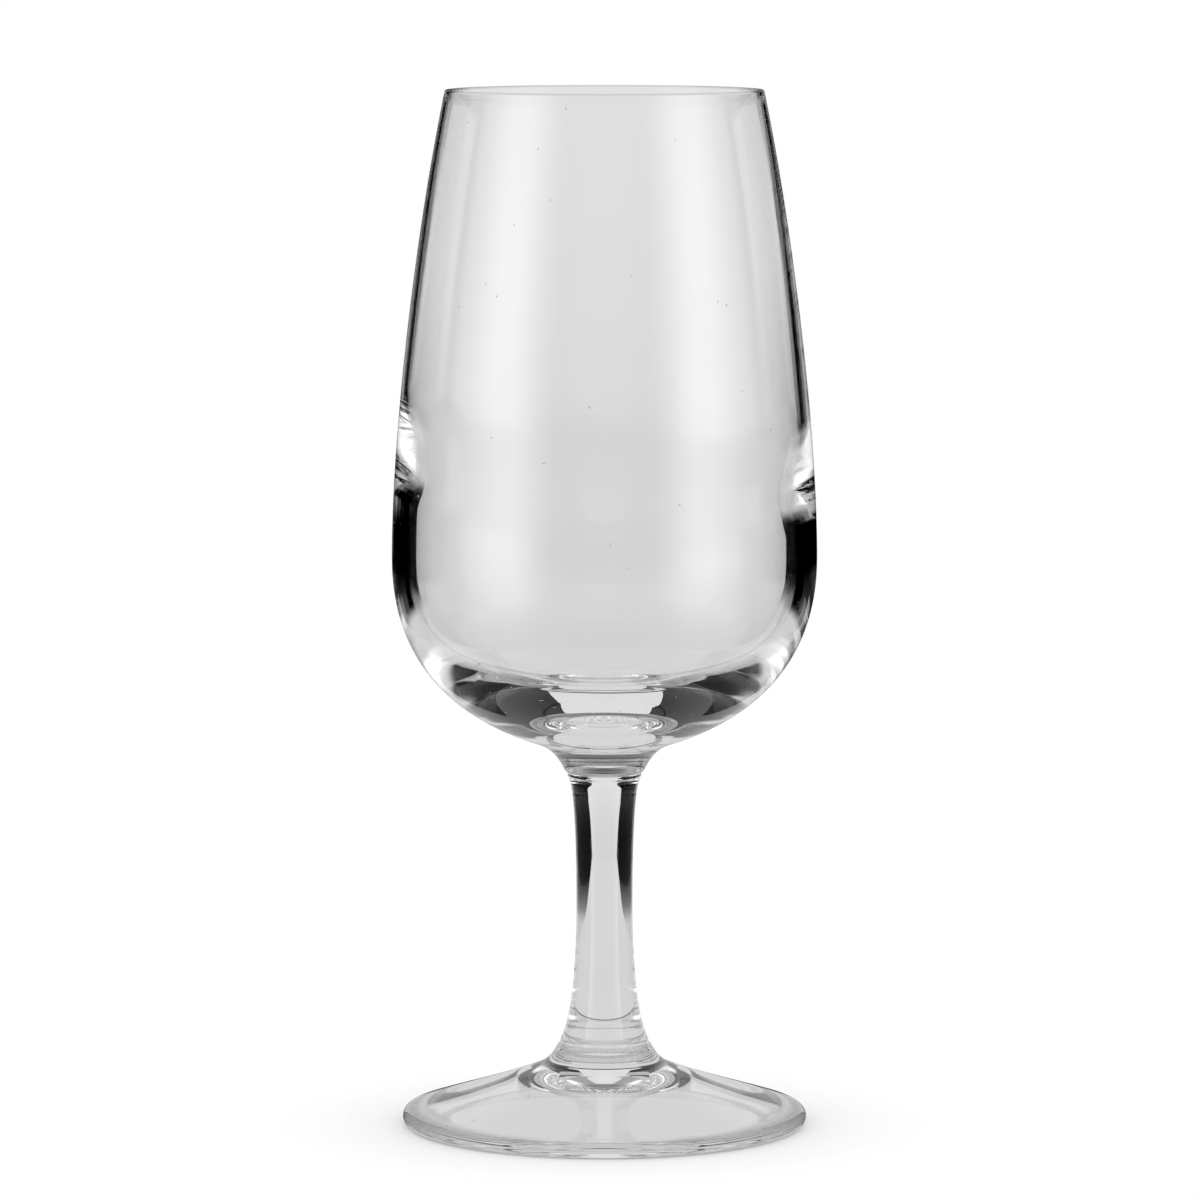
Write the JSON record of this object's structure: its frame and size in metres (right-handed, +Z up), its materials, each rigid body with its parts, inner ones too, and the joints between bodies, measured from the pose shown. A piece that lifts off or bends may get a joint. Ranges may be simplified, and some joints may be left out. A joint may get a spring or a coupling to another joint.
{
  "type": "tasting glass",
  "caption": "Clear stemmed tasting glass: a tall bowl that narrows from a low belly to its rim, on a short waisted stem and a shallow conical foot.",
  "frame": {"origin": "centre of the ring that the foot rests on, on the table", "axes": "+Z up along the glass's own axis, towards the rim; every section is round, so +X and +Y are free"},
  "size_m": [0.0634, 0.0634, 0.155],
  "materials": {
    "bowl_glass": "clear, blown, with a fire-polished rim",
    "stem_glass": "clear, drawn, fire-polished",
    "foot_glass": "clear, pressed, fire-polished"
  },
  "bodies": {
    "root": {"bowl": "bowl_glass", "stem": "stem_glass", "foot": "foot_glass"}
  },
  "joints": []
}
